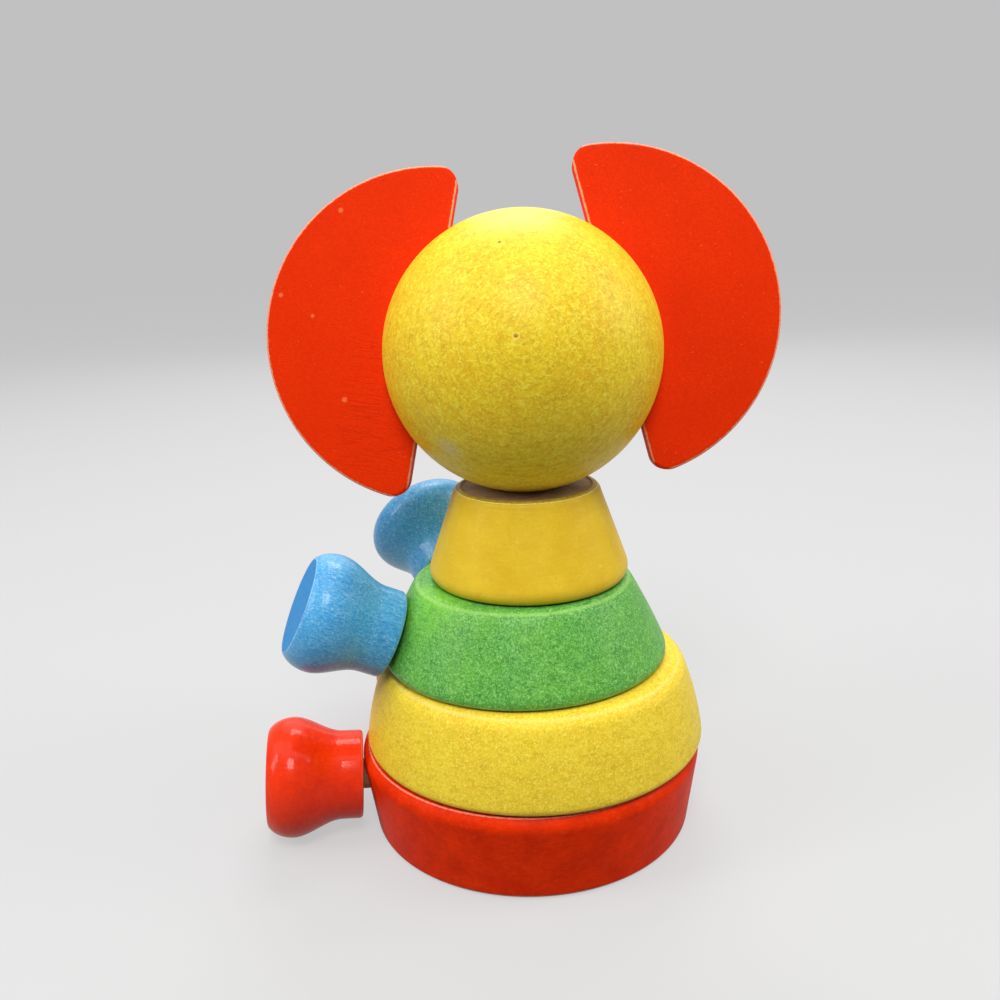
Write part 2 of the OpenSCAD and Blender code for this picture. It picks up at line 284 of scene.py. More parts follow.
def lathe(name, outline, place, closed=False):
    """Turns an outline of (radius, height) about Z. A closed one joins its last point to its first."""
    work = bmesh.new()
    turn = 2 * math.pi / SEGMENTS
    rings = []
    for r, z in outline:
        if r < ON_AXIS:
            rings.append([work.verts.new((0, 0, z))])
            continue
        circle = [(r * math.cos(turn * k), r * math.sin(turn * k), z) for k in range(SEGMENTS)]
        rings.append([work.verts.new(point) for point in circle])
    pairs = list(zip(rings, rings[1:]))
    if closed:
        pairs.append((rings[-1], rings[0]))
    for lower, upper in pairs:
        for k in range(SEGMENTS):
            n = (k + 1) % SEGMENTS
            corners = [lower[k % len(lower)], lower[n % len(lower)]]
            corners += [upper[n % len(upper)], upper[k % len(upper)]]
            work.faces.new(list(dict.fromkeys(corners)))
    bmesh.ops.recalc_face_normals(work, faces=work.faces)
    return placed(name, work, place)


def box_cutter(low, high, place):
    """Cutter in the shape of a box between two corners."""
    work = bmesh.new()
    bmesh.ops.create_cube(work, size=1)
    low, high = Vector(low), Vector(high)
    bmesh.ops.scale(work, vec=high - low, verts=work.verts)
    bmesh.ops.translate(work, vec=(high + low) / 2, verts=work.verts)
    return placed("cutter", work, place)


def rod_cutter(radius, low, high, place):
    """Cutter in the shape of a rod along its place's own Z."""
    outline = [(0, low), (radius, low), (radius, high), (0, high)]
    return lathe("cutter", outline, place)


def cut(piece, cutters):
    """Takes the cutters' shapes out of the piece and removes them."""
    for cutter in cutters:
        step = piece.modifiers.new("cut", "BOOLEAN")
        step.operation = "DIFFERENCE"
        step.solver = "EXACT"
        step.object = cutter
    graph = bpy.context.evaluated_depsgraph_get()
    mesh = bpy.data.meshes.new_from_object(piece.evaluated_get(graph))
    piece.modifiers.clear()
    piece.data = mesh
    for cutter in cutters:
        bpy.data.objects.remove(cutter)


def store(mesh, name, values):
    """Keeps one number for each point of a mesh, for its material to read."""
    mesh.attributes.new(name, "FLOAT", "POINT").data.foreach_set("value", values)


def finish_piece(piece, place, wear, paint, body, node):
    """Shades a piece, stores its own coordinates and wear, and ties it to the frame."""
    mesh = piece.data
    mesh.shade_smooth()
    mesh.set_sharp_from_angle(angle=math.radians(SHARP_ANGLE))
    to_own = place.inverted()
    points = [to_own @ vertex.co for vertex in mesh.vertices]
    own = mesh.attributes.new("own", "FLOAT_VECTOR", "POINT")
    own.data.foreach_set("vector", [value for point in points for value in point])
    store(mesh, "wear", [wear(point) for point in points])
    mesh.materials.clear()
    mesh.materials.append(paint)
    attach(piece, body)
    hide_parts(node)


def store_painted_seat_shade(piece, place):
    """Stores where a ring's painted contact shade lies: 1 on its lower half, fading to 0 at its top."""
    to_own = place.inverted()
    heights = [(to_own @ vertex.co).z for vertex in piece.data.vertices]
    store(piece.data, "seat", [min(max(2 - 2 * z / PAINTED_SHADE_HEIGHT, 0), 1) for z in heights])


def near_corners(corners):
    """Wear that is full at turned corners given as (radius, height, width)."""

    def wear(point):
        r = math.hypot(point.x, point.y)
        amount = 0.0
        for corner_r, corner_z, width in corners:
            distance = math.hypot(r - corner_r, point.z - corner_z)
            amount = max(amount, math.exp(-((distance / width) ** 2)))
        return amount

    return wear


def unworn(point):
    """Wear of a piece that has none, at any point."""
    return 0.0


def ear_wear(point):
    """Wear that is full along a line in the rounding of an ear's rim."""
    rub = EAR_EDGE * EAR_RUB
    inside = min(point.x, EAR_R - math.hypot(point.x, point.y))
    from_line = math.hypot(inside - rub, EAR_T / 2 - rub - abs(point.z))
    return math.exp(-((from_line / WEAR["ear"]) ** 2))


def colour(red, green, blue):
    """A display colour from 0 to 255, as the linear colour that shaders take."""
    channels = []
    for value in (red, green, blue):
        v = value / 255
        channels.append(v / 12.92 if v <= 0.04045 else ((v + 0.055) / 1.055) ** 2.4)
    return (*channels, 1.0)


class Paint:
    """One material, and short ways to add its nodes."""

    def __init__(self, name):
        self.material = bpy.data.materials.new(name)
        self.material.use_nodes = True
        self.tree = self.material.node_tree
        self.tree.nodes.clear()
        self.own = self.add("ShaderNodeAttribute", attribute_name="own").outputs["Vector"]
        self.wear = self.add("ShaderNodeAttribute", attribute_name="wear").outputs["Fac"]
        # The seat attribute marks where a ring's painted contact shade lies
        self.seat = self.add("ShaderNodeAttribute", attribute_name="seat").outputs["Fac"]
        self.x, self.y, self.z = self.add("ShaderNodeSeparateXYZ", {"Vector": self.own}).outputs

    def add(self, kind, inputs=None, **settings):
        """A new node, whose inputs are sockets to link or values to set."""
        node = self.tree.nodes.new(kind)
        for key, value in settings.items():
            setattr(node, key, value)
        for key, value in (inputs or {}).items():
            if isinstance(value, bpy.types.NodeSocket):
                self.tree.links.new(value, node.inputs[key])
            else:
                node.inputs[key].default_value = value
        return node

    def math(self, operation, first, second=0.0):
        """Result of one operation on numbers or sockets."""
        return self.add("ShaderNodeMath", {0: first, 1: second}, operation=operation).outputs[0]

    def drawn_around(self):
        """Coordinates in which even features come out long around the piece's Z, as on a lathe."""
        squares = [self.math("MULTIPLY", axis, axis) for axis in (self.x, self.y)]
        radius = self.math("SQRT", self.math("ADD", *squares))
        parts = {
            "X": self.math("MULTIPLY", self.x, DRAWN_OUT),
            "Y": self.math("MULTIPLY", self.y, DRAWN_OUT),
            "Z": self.math("MULTIPLY", self.math("ARCTAN2", radius, self.z), TURNED_R),
        }
        return self.add("ShaderNodeCombineXYZ", parts).outputs["Vector"]

    def noise(self, size, detail, rough=0.5, distort=0.0, stretch=(1, 1, 1), offset=0.0, where=None):
        """Noise whose features are about size millimetres across."""
        place = self.add(
            "ShaderNodeMapping",
            {"Vector": where or self.own, "Location": (offset, offset, offset), "Scale": stretch},
        )
        made = self.add(
            "ShaderNodeTexNoise",
            {
                "Vector": place.outputs["Vector"],
                "Scale": 1 / size,
                "Detail": detail,
                "Roughness": rough,
                "Distortion": distort,
            },
        )
        return made.outputs["Fac"]

    def levels(self, value, low, high, out_low=0.0, out_high=1.0):
        """Takes a value from the range low to high into another one, and holds it at the ends."""
        made = self.add(
            "ShaderNodeMapRange",
            {"Value": value, "From Min": low, "From Max": high, "To Min": out_low, "To Max": out_high},
        )
        return made.outputs["Result"]

    def within(self, value, low, high, soft):
        """1 between two values of a coordinate, fading out past them."""
        above = self.levels(value, low - soft, low)
        below = self.levels(value, high, high + soft, 1.0, 0.0)
        return self.math("MULTIPLY", above, below)

    def level_line(self, field, width):
        """1 on the line where a noise is at its middle, fading out over a width in its values."""
        off_line = self.math("ABSOLUTE", self.math("SUBTRACT", field, 0.5))
        return self.levels(off_line, 0.0, width, 1.0, 0.0)

    def curls(self, size, width, offset):
        """Short curly flecks: level lines of a noise, broken up by another one."""
        line = self.level_line(self.noise(size, detail=2, rough=0.6, distort=1.0, offset=offset), width)
        breaks = self.levels(self.noise(0.7 * size, detail=1, offset=offset + 5), 0.46, 0.58)
        return self.math("MULTIPLY", line, breaks)

    def spot(self, centre, radius, soft):
        """A round mask about a point of the piece's own frame."""
        apart = self.add("ShaderNodeVectorMath", {0: self.own, 1: centre}, operation="DISTANCE")
        return self.levels(apart.outputs["Value"], radius, radius + soft, 1.0, 0.0)

    def mix(self, share, first, second):
        """Two colours mixed, with that share of the second."""
        return self.add("ShaderNodeMix", {0: share, 6: first, 7: second}, data_type="RGBA").outputs[2]

    def lay(self, tint, mask, share, shade):
        """Lays a shade over a tint by a mask, up to a share."""
        return self.mix(self.math("MULTIPLY", mask, share), tint, shade)

    def lay_where(self, tint, field, low, high, share, shade):
        """Lays a shade over a tint where a field rises from low to high, up to a share."""
        return self.mix(self.levels(field, low, high, 0.0, share), tint, shade)

    def finish(self, tint, roughness, height=None, bump=0.0, distance=0.0, coat=0.0, shine=0.2):
        """The material of a colour, roughness and relief, its coat, and its specular level."""
        inputs = {
            "Base Color": tint,
            "Roughness": roughness,
            "Coat Weight": coat,
            "Coat Roughness": COAT_ROUGHNESS,
            "Specular IOR Level": shine,
        }
        if height is not None:
            relief = {"Height": height, "Strength": bump, "Distance": distance}
            inputs["Normal"] = self.add("ShaderNodeBump", relief).outputs["Normal"]
        shader = self.add("ShaderNodeBsdfPrincipled", inputs)
        self.add("ShaderNodeOutputMaterial", {"Surface": shader.outputs["BSDF"]})
        return self.material


def clouded(paint, size, first, second, detail=2, rough=0.5):
    """Base of a paint: soft clouds of two close colours."""
    clouds = paint.noise(size, detail=detail, rough=rough)
    return paint.lay_where(first, clouds, 0.35, 0.7, 1.0, second)


def worn_edges(paint, tint, pale, amount):
    """Mixes a pale colour in where the wear attribute and a fine noise agree."""
    patchy = paint.noise(0.9, detail=3, rough=0.7, offset=11)
    worn = paint.math("ADD", paint.wear, paint.math("MULTIPLY", patchy, PATCHINESS))
    return paint.lay(tint, paint.levels(worn, *WORN_LEVELS), amount, pale)


def painted_seat_shade(paint, tint):
    """Painted shade: a dark line where a ring's rounded lower edge meets what it stands on."""
    return paint.lay(tint, paint.seat, PAINTED_SHADE_STRENGTH, colour(44, 32, 16))


def dabbed(paint, tint, marks):
    """Mixes in round marks, each given as centre, radius, soft edge, share and colour."""
    for centre, radius, soft, share, mark in marks:
        tint = paint.lay(tint, paint.spot(centre, radius, soft), share, mark)
    return tint


def stained(name, base, light, dark, warm, rim, fine_share, flecks, lines, shine, under=(), marks=()):
    """Transparent stain on fine-pored wood: patches, curly flecks and faint turning lines."""
    paint = Paint(name)
    patches = paint.noise(9, detail=2, offset=3)
    # The under marks go beneath the flecks: painted bounce light on the ball, and a partly painted
    # reflection on the green ring
    tint = dabbed(paint, paint.lay_where(base, patches, 0.42, 0.68, 0.45, warm), under)
    clouds = paint.noise(2.2, detail=3, rough=0.6, offset=7)
    tint = paint.lay_where(tint, clouds, 0.45, 0.7, 0.35, dark)
    streaks = paint.noise(0.8, detail=2, rough=0.6, where=paint.drawn_around(), offset=23)
    tint = paint.lay_where(tint, streaks, 0.5, 0.68, lines, dark)
    fine = paint.noise(0.5, detail=2, rough=0.6, distort=1.0)
    tint = paint.lay_where(tint, fine, 0.48, 0.68, fine_share, light)
    tint = paint.lay(tint, paint.curls(1.4, 0.06, offset=19), 0.6 * flecks, dark)
    for size, offset in ((2.0, 0.0), (1.2, 41.0)):
        tint = paint.lay(tint, paint.curls(size, 0.06, offset=offset), flecks, light)
    # Worn bands in the rim colour; on the rings' upper roundings they are partly a painted highlight
    tint = worn_edges(paint, dabbed(paint, tint, marks), rim, 0.45)
    # Painted shade where the ring meets what it stands on
    tint = painted_seat_shade(paint, tint)
    rough = paint.levels(fine, 0.3, 0.7, 0.38, 0.52)
    return paint.finish(tint, rough, fine, bump=0.26, distance=0.00014, shine=shine)


def foot_red():
    """Glossy red over drawn-out grain."""
    paint = Paint("foot_paint")
    tint = clouded(paint, 5, colour(252, 54, 3), colour(236, 46, 3), detail=3, rough=0.6)
    grain = paint.noise(0.5, detail=3, rough=0.7, distort=0.4, stretch=(1, 1, 0.18))
    tint = paint.lay_where(tint, grain, 0.45, 0.7, 0.4, colour(214, 38, 3))
    strokes = paint.noise(0.7, detail=3, rough=0.7, where=paint.drawn_around(), offset=31)
    tint = paint.lay_where(tint, strokes, 0.5, 0.72, 0.5, colour(255, 66, 6))
    tint = worn_edges(paint, tint, colour(250, 130, 96), 0.6)
    relief = paint.math("ADD", grain, strokes)
    return paint.finish(tint, 0.4, relief, bump=0.6, distance=0.00018, coat=0.3, shine=0.06)


def base_red():
    """Satin red, rubbed in fine lines around the disc, with a pale rim that is worn and, on its upper
    rounding, partly a painted highlight.
    """
    paint = Paint("base_paint")
    tint = clouded(paint, 7, colour(246, 54, 4), colour(220, 44, 4), detail=3, rough=0.6)
    strokes = paint.noise(0.4, detail=3, rough=0.75, where=paint.drawn_around())
    tint = paint.lay_where(tint, strokes, 0.46, 0.7, 0.5, colour(200, 36, 4))
    tint = paint.lay(tint, paint.curls(1.8, 0.03, offset=29), 0.35, colour(250, 90, 44))
    tint = worn_edges(paint, tint, colour(250, 160, 132), 0.85)
    return paint.finish(tint, 0.46, strokes, bump=0.4, distance=0.00014, shine=0.05)


# Pale chips in the left ear's paint, in its own millimetres: centre and radius, and the
# soft edge that they all have
EAR_CHIPS = [
    ((27.4, 26.6, -3), 0.35),
    ((38.9, 3.7, -3), 0.3),
    ((19.2, -19.3, -3), 0.4),
    ((30.3, -0.1, -3), 0.2),
]
CHIP_SOFT = 0.45

# Where saw marks cross the left ear, along its X and its Y: from, to and soft edge
SAWN_X = (4.0, 17.0, 4.0)
SAWN_Y = (-35.0, -3.0, 2.0)


def ear_red(name, chips=(), sawn=False):
    """Even orange-red on sawn board, with a pale line of wear on its edges."""
    paint = Paint(name)
    tint = clouded(paint, 11, colour(243, 53, 2), colour(237, 50, 2))
    specks = paint.noise(0.36, detail=3, rough=0.75, stretch=(0.6, 1, 1))
    tint = paint.mix(paint.levels(specks, 0.42, 0.6, 0.6, 0.0), tint, colour(220, 43, 2))
    tint = paint.lay(tint, paint.curls(2.6, 0.02, offset=9), 0.3, colour(206, 36, 4))
    dust = paint.noise(0.7, detail=1, offset=43)
    tint = paint.lay_where(tint, dust, 0.74, 0.78, 0.5, colour(250, 116, 60))
    relief = specks
    if sawn:
        line = paint.level_line(
            paint.noise(1.4, detail=1, distort=0.3, stretch=(0.1, 1, 1), offset=3), 0.05
        )
        place = paint.math("MULTIPLY", paint.within(paint.x, *SAWN_X), paint.within(paint.y, *SAWN_Y))
        marks = paint.math("MULTIPLY", line, place)
        tint = paint.lay(tint, marks, 0.3, colour(192, 34, 6))
        relief = paint.math("SUBTRACT", specks, marks)
    for centre, radius in chips:
        tint = paint.mix(paint.spot(centre, radius, CHIP_SOFT), tint, colour(246, 108, 62))
    tint = worn_edges(paint, tint, colour(255, 166, 128), 0.95)
    return paint.finish(tint, 0.55, relief, bump=0.25, distance=0.00014, shine=0.04)


def cone_yellow():
    """Smooth paint, brushed lightly, with a bright line along its rim."""
    paint = Paint("cone_paint")
    tint = clouded(paint, 7, colour(236, 198, 46), colour(228, 186, 38))
    strokes = paint.noise(0.9, detail=2, rough=0.6, where=paint.drawn_around())
    tint = paint.lay_where(tint, strokes, 0.52, 0.74, 0.3, colour(246, 214, 74))
    mottle = paint.noise(0.4, detail=2, rough=0.6, distort=1.0, offset=37)
    tint = paint.lay_where(tint, mottle, 0.5, 0.7, 0.3, colour(206, 164, 24))
    tint = paint.lay(tint, paint.curls(2.4, 0.02, offset=13), 0.3, colour(250, 228, 110))
    tint = worn_edges(paint, tint, colour(252, 240, 150), 0.9)
    # Painted shade where the cone meets the ring it stands on
    tint = painted_seat_shade(paint, tint)
    rough = paint.levels(strokes, 0.3, 0.7, 0.36, 0.5)
    return paint.finish(tint, rough, strokes, bump=0.12, distance=0.0001, shine=0.15)


def shaded_rim_paint():
    """Painted shade over the rounding of the cone's top: the cone's yellow darkened to olive."""
    paint = Paint("cone_rim_painted_shade")
    mottle = paint.noise(0.8, detail=3, rough=0.6, distort=0.8)
    tint = paint.lay_where(colour(206, 176, 34), mottle, 0.38, 0.66, 1.0, colour(160, 140, 26))
    tint = worn_edges(paint, tint, colour(252, 240, 156), 0.9)
    return paint.finish(tint, 0.5, mottle, bump=0.2, distance=0.0001)


def blue_stain():
    """Transparent blue on lengthwise grain, with pale flecks."""
    paint = Paint("blue_paint")
    tint = clouded(paint, 5, colour(60, 162, 224), colour(50, 148, 214))
    grain = paint.noise(0.38, detail=3, rough=0.75, distort=0.3, stretch=(1, 1, 0.2))
    tint = paint.lay_where(tint, grain, 0.45, 0.68, 0.75, colour(124, 202, 238))
    pores = paint.noise(0.32, detail=2, rough=0.6, stretch=(1, 1, 0.2), offset=17)
    tint = paint.lay_where(tint, pores, 0.55, 0.7, 0.6, colour(20, 98, 160))
    tint = paint.lay(tint, paint.curls(1.2, 0.035, offset=27), 0.75, colour(166, 226, 250))
    tint = worn_edges(paint, tint, colour(164, 212, 236), 0.7)
    rough = paint.levels(grain, 0.3, 0.7, 0.28, 0.44)
    return paint.finish(tint, rough, grain, bump=0.6, distance=0.00018, coat=0.25, shine=0.3)


def blue_face():
    """The stain on the flat end, smoother and deeper, with a crisp pale edge."""
    paint = Paint("blue_face_paint")
    strokes = paint.noise(0.4, detail=3, rough=0.75, stretch=(1, 0.25, 1), offset=5)
    tint = paint.lay_where(colour(20, 128, 202), strokes, 0.35, 0.7, 1.0, colour(48, 154, 214))
    pores = paint.noise(0.5, detail=2, rough=0.6, distort=0.8, stretch=(1, 0.4, 1), offset=15)
    tint = paint.lay_where(tint, pores, 0.52, 0.68, 0.5, colour(14, 96, 162))
    tint = worn_edges(paint, tint, colour(170, 216, 240), 0.9)
    return paint.finish(tint, 0.5, strokes, bump=0.3, distance=0.00012, shine=0.1)


def bare_wood(name, pale, warm, pore):
    """Unpainted wood, its pores drawn out along the piece's own Z."""
    paint = Paint(name)
    tint = clouded(paint, 4, pale, warm)
    grain = paint.noise(0.5, detail=3, rough=0.6, stretch=(1, 1, 0.08))
    tint = paint.lay_where(tint, grain, 0.45, 0.75, 0.6, pore)
    return paint.finish(tint, 0.62, grain, bump=0.2, distance=0.0001)


def black_gloss():
    """Glossy black of the eyes."""
    paint = Paint("black_paint")
    faint = paint.noise(1.5, detail=2)
    tint = paint.mix(faint, colour(20, 19, 18), colour(34, 32, 30))
    return paint.finish(tint, paint.levels(faint, 0.3, 0.7, 0.16, 0.26), coat=0.4, shine=0.5)


# Round marks, in the piece's own millimetres: centre, radius, soft edge, share, colour.
# HEAD_MARKS are a dark point, a pale scuff and the pinhole's rim on the back of the ball
HEAD_MARKS = [
    ((4.6, 21.9, -26.9), 0.25, 0.25, 0.8, colour(110, 84, 20)),
    ((18.0, -23.7, -18.4), 1.2, 3.2, 0.4, colour(226, 210, 160)),
    ((1.6, 0.0, -35.0), 0.6, 0.5, 0.5, colour(250, 232, 130)),
]

# Painted bounce light under the flecks: a warmer, fuller yellow low on the back of the ball
HEAD_PAINTED_BOUNCE_LIGHT = [((2.0, -32.0, -14.0), 9.0, 16.0, 0.8, colour(255, 210, 44))]
# On the green ring's top beside the cone, a warmer yellow-green under the flecks: partly stain, partly
# a painted reflection of the yellow cone
GREEN_STAIN_AND_PAINTED_REFLECTION = [((25.0, -15.0, 23.0), 5.0, 9.0, 0.8, colour(124, 206, 34))]

FOOT_RED = foot_red()
BASE_RED = base_red()
EAR_PAINTS = {
    "left": ear_red("left_ear_paint", EAR_CHIPS, sawn=True),
    "right": ear_red("right_ear_paint"),
}
CONE = cone_yellow()
# Olive painted shade for the cone's top rounding
SHADED_RIM = shaded_rim_paint()
BLUE = blue_stain()
BLUE_FACE = blue_face()
WOOD = bare_wood("bare_wood", colour(196, 162, 112), colour(178, 142, 94), colour(146, 108, 66))
END_WOOD = bare_wood("worn_wood", colour(196, 168, 142), colour(172, 144, 118), colour(124, 98, 78))
BLACK = black_gloss()
YELLOW = stained(
    "yellow_paint",
    base=colour(244, 209, 46),
    light=colour(255, 236, 90),
    dark=colour(206, 164, 26),
    warm=colour(236, 186, 40),
    rim=colour(250, 230, 130),
    fine_share=1.0,
    flecks=0.4,
    lines=0.4,
    shine=0.14,
)
HEAD = stained(
    "head_paint",
    base=colour(242, 205, 30),
    light=colour(255, 240, 78),
    dark=colour(206, 154, 14),
    warm=colour(238, 176, 24),
    rim=colour(250, 236, 120),
    fine_share=0.45,
    flecks=0.75,
    lines=0.5,
    shine=0.22,
    # Painted bounce light, low on the back of the ball
    under=HEAD_PAINTED_BOUNCE_LIGHT,
    marks=HEAD_MARKS,
)
GREEN = stained(
    "green_paint",
    base=colour(74, 156, 54),
    light=colour(150, 218, 112),
    dark=colour(34, 112, 34),
    warm=colour(110, 184, 38),
    rim=colour(170, 220, 120),
    fine_share=0.85,
    flecks=0.35,
    lines=0.5,
    shine=0.34,
    # Partly stain, partly a painted reflection of the yellow cone
    under=GREEN_STAIN_AND_PAINTED_REFLECTION,
)


def upright(node):
    """Place of a turned ring: on its own axis, its underside at height 0."""
    low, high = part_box(node)
    middle = (low + high) / 2
    return Matrix.Translation((middle.x, middle.y, low.z)) @ Matrix.Scale(MM, 4)


def upright_at_origin(node):
    """Place of a turned piece on the row's own axis, its underside at height 0."""
    low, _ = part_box(node)
    return Matrix.Translation((0, 0, low.z)) @ Matrix.Scale(MM, 4)


def height_of(node):
    """Height of a node in millimetres."""
    low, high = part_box(node)
    return (high.z - low.z) / MM


def along(origin, axis):
    """Place of a piece whose own Z runs from origin along axis."""
    turn = Vector(axis).to_track_quat("Z", "Y").to_matrix().to_4x4()
    return Matrix.Translation(origin) @ turn @ Matrix.Scale(MM, 4)


def reach(node, place):
    """Lowest and highest of a node along a place's own Z, and its widest radius."""
    to_own = place.inverted()
    points = [to_own @ v.co for v in frame["nodes"][node].data.vertices]
    heights = [p.z for p in points]
    return min(heights), max(heights), max(math.hypot(p.x, p.y) for p in points)


def limb_place(side, limb):
    """Place of a foot's or an arm's joint, its own Z out along the dowel."""
    joint = next(j for j in frame["joints"] if j["name"] == f"{side}_{limb}_turn")
    return along(joint["pos_m"], joint["axis"])


def hole_cutter(side, limb):
    """Cutter of the hole that a limb's dowel slides in."""
    depth = DOWEL_HOLES[limb]
    return rod_cutter(DOWEL_R + RUN_GAP, -depth, depth, limb_place(side, limb))


def make_base():
    """The base disc, with the rod's socket and the holes of the feet."""
    place, height = upright_at_origin("base_disc"), height_of("base_disc")
    side = ring_side(RING_SHAPES["base_disc"], height)
    socket_r = ROD_R + GLUE_GAP
    outline = [(0, 0)] + side + [(socket_r, height), (socket_r, SOCKET_FLOOR), (0, SOCKET_FLOOR)]
    piece = lathe("base_disc_look", outline, place)
    cut(piece, [hole_cutter("left", "foot"), hole_cutter("right", "foot")])
    # Pale lines at the roundings: wear, and on the upper one partly a painted highlight
    rubbed = [side[ARC_STEPS - BASE_PALE_LINE_STEPS], side[-1 - BASE_PALE_LINE_STEPS]]
    wear = near_corners([(*corner, WEAR["base"]) for corner in rubbed])
    finish_piece(piece, place, wear, BASE_RED, "base", "base_disc")


def make_rod():
    """The rod, with a broken top edge."""
    place, height = upright_at_origin("centre_rod"), height_of("centre_rod")
    outline = [(0, 0), (ROD_R, 0), (ROD_R, height - ROD_CHAMFER)]
    outline += [(ROD_R - ROD_CHAMFER, height), (0, height)]
    piece = lathe("centre_rod_look", outline, place)
    finish_piece(piece, place, unworn, WOOD, "base", "centre_rod")


def make_ring(node, paint, holes=()):
    """A bored ring, with holes in its side if cutters are given."""
    place, height = upright(node), height_of(node)
    side = ring_side(RING_SHAPES[node], height)
    piece = lathe(f"{node}_look", side + bore(height), place, closed=True)
    if holes:
        cut(piece, holes)
    # Pale band on the upper rounding: partly wear, partly a painted highlight
    wear = near_corners(
        [(*side[LOW_MIDDLE], WEAR["ring_low"]), (*side[HIGH_MIDDLE], WEAR["ring_high_wear_and_highlight"])]
    )
    finish_piece(piece, place, wear, paint, node, node)
    # Painted shade at the ring's foot, where it meets what it stands on
    store_painted_seat_shade(piece, place)


def make_cone():
    """The cone, with olive painted shade on its top rounding and bare wood in its dish."""
    node = "neck_cone"
    place, height = upright(node), height_of(node)
    side = ring_side(RING_SHAPES[node], height)
    floor = height - RECESS_DEPTH
    dish = [
        (RECESS_R + RECESS_BREAK_OUT, height),
        (RECESS_R, height - RECESS_BREAK_DOWN),
        (RECESS_R - RECESS_LEAN, floor),
    ]
    piece = lathe("neck_cone_look", side + dish + bore(floor), place, closed=True)
    rim = side[HIGH_MIDDLE]
    wear = near_corners([(*side[1], WEAR["cone_low"]), (*rim, WEAR["cone_high"])])
    finish_piece(piece, place, wear, CONE, node, node)
    # Painted shade at the cone's foot, where it meets the ring below
    store_painted_seat_shade(piece, place)
    # Slots for the olive painted shade on the top rounding and for the dish's bare wood
    piece.data.materials.append(SHADED_RIM)
    piece.data.materials.append(END_WOOD)
    shaded_rim_slot, wood_slot = 1, 2
    to_own = place.inverted()
    for face in piece.data.polygons:
        middle = to_own @ face.center
        r = math.hypot(middle.x, middle.y)
        if middle.z < floor - BORE_CHAMFER / 2:
            continue
        if r < RECESS_R:
            face.material_index = wood_slot
        # Olive painted shade on the top rounding
        elif r < rim[0]:
            face.material_index = shaded_rim_slot


def make_limb(side, limb, paint, face_paint=None):
    """A foot or an arm, its flat end in a paint of its own if one is given."""
    node = f"{side}_{limb}"
    place = limb_place(side, limb)
    start, end, end_r = reach(node, place)
    place = place @ Matrix.Translation((0, 0, start))
    length = end - start
    outer = limb_side(length, LIMB_NECK_R[limb], end_r, LIMB_FACE_R)
    hole_r = DOWEL_R + RUN_GAP
    outline = [(0, LIMB_HOLE), (hole_r, LIMB_HOLE), (hole_r, 0)] + outer + [(0, length)]
    piece = lathe(f"{node}_look", outline, place)
    neck = (*outer[ARC_STEPS // 2], WEAR["limb_neck"])
    wear = near_corners([neck, (LIMB_FACE_R, length, WEAR["limb_rim"])])
    finish_piece(piece, place, wear, paint, node, node)
    if face_paint:
        piece.data.materials.append(face_paint)
        to_own = place.inverted()
        for face in piece.data.polygons:
            if (to_own @ face.center).z > length - RIM_FILLET / 2:
                face.material_index = 1


def make_dowel(side, limb):
    """The dowel of a foot or an arm, with broken ends."""
    node = f"{side}_{limb}_dowel"
    place = limb_place(side, limb)
    start, end, _ = reach(node, place)
    end_r = DOWEL_R - DOWEL_CHAMFER
    outline = [(0, start), (end_r, start), (DOWEL_R, start + DOWEL_CHAMFER)]
    outline += [(DOWEL_R, end - DOWEL_CHAMFER), (end_r, end), (0, end)]
    piece = lathe(f"{node}_look", outline, place)
    finish_piece(piece, place, unworn, WOOD, node, node)


def ball_centre():
    """Centre of the head's ball, from the highest points of its CAD node."""
    _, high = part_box("head_ball")
    crown_z = high.z - CROWN_SHARE * BALL_R * MM
    crown = [v.co for v in frame["nodes"]["head_ball"].data.vertices if v.co.z > crown_z]
    middle_x = (min(p.x for p in crown) + max(p.x for p in crown)) / 2
    middle_y = (min(p.y for p in crown) + max(p.y for p in crown)) / 2
    return Vector((middle_x, middle_y, high.z - BALL_R * MM))


def head_angles():
    """Turn of the head about the rod, and its nod, in degrees, from where its trunk points."""
    low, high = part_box("trunk_dowel")
    out = ((low + high) / 2 - BALL).normalized()
    return math.degrees(math.atan2(out.y, out.x)) + 90, -math.degrees(math.asin(out.z))


BALL = ball_centre()
HEAD_TURN, HEAD_NOD = head_angles()


def on_face(side_angle, up_angle):
    """Place at the ball's centre, turned to the side and up from the face's middle.

    Its Z points outwards there, and its X to the head's left.
    """
    turn = Matrix.Rotation(math.radians(HEAD_TURN + side_angle), 4, "Z")
    nod = Matrix.Rotation(math.radians(90 + HEAD_NOD - up_angle), 4, "X")
    return Matrix.Translation(BALL) @ (turn @ nod) @ Matrix.Scale(MM, 4)


def ear_place(side):
    """Place of an ear: X out of its straight edge, Y up along it, Z through the board."""
    spot = EAR_PLACES[side]
    rise = math.radians(spot["rise"])
    out = Vector((spot["side"] * math.cos(rise), math.sin(rise), 0))
    upward = Vector((-spot["side"] * math.sin(rise), math.cos(rise), 0))
    through = out.cross(upward)
    turned = Matrix((out, upward, through)).transposed().to_4x4()
    origin = out * spot["seat"] + upward * spot["slide"]
    return on_face(0, 0) @ Matrix.Translation(origin) @ turned


def pinhole_cutter():
    """Cutter of the lathe's centre mark, beside the point opposite the face's middle."""
    outline = [
        (0, BALL_R - PINHOLE_DEPTH),
        (PINHOLE_R * PINHOLE_TAPER, BALL_R - PINHOLE_DEPTH / 2),
        (PINHOLE_R, BALL_R),
        (PINHOLE_R, BALL_R + CLEAR),
        (0, BALL_R + CLEAR),
    ]
    return lathe("cutter", outline, on_face(180 - PINHOLE_SIDE, 2 * HEAD_NOD))


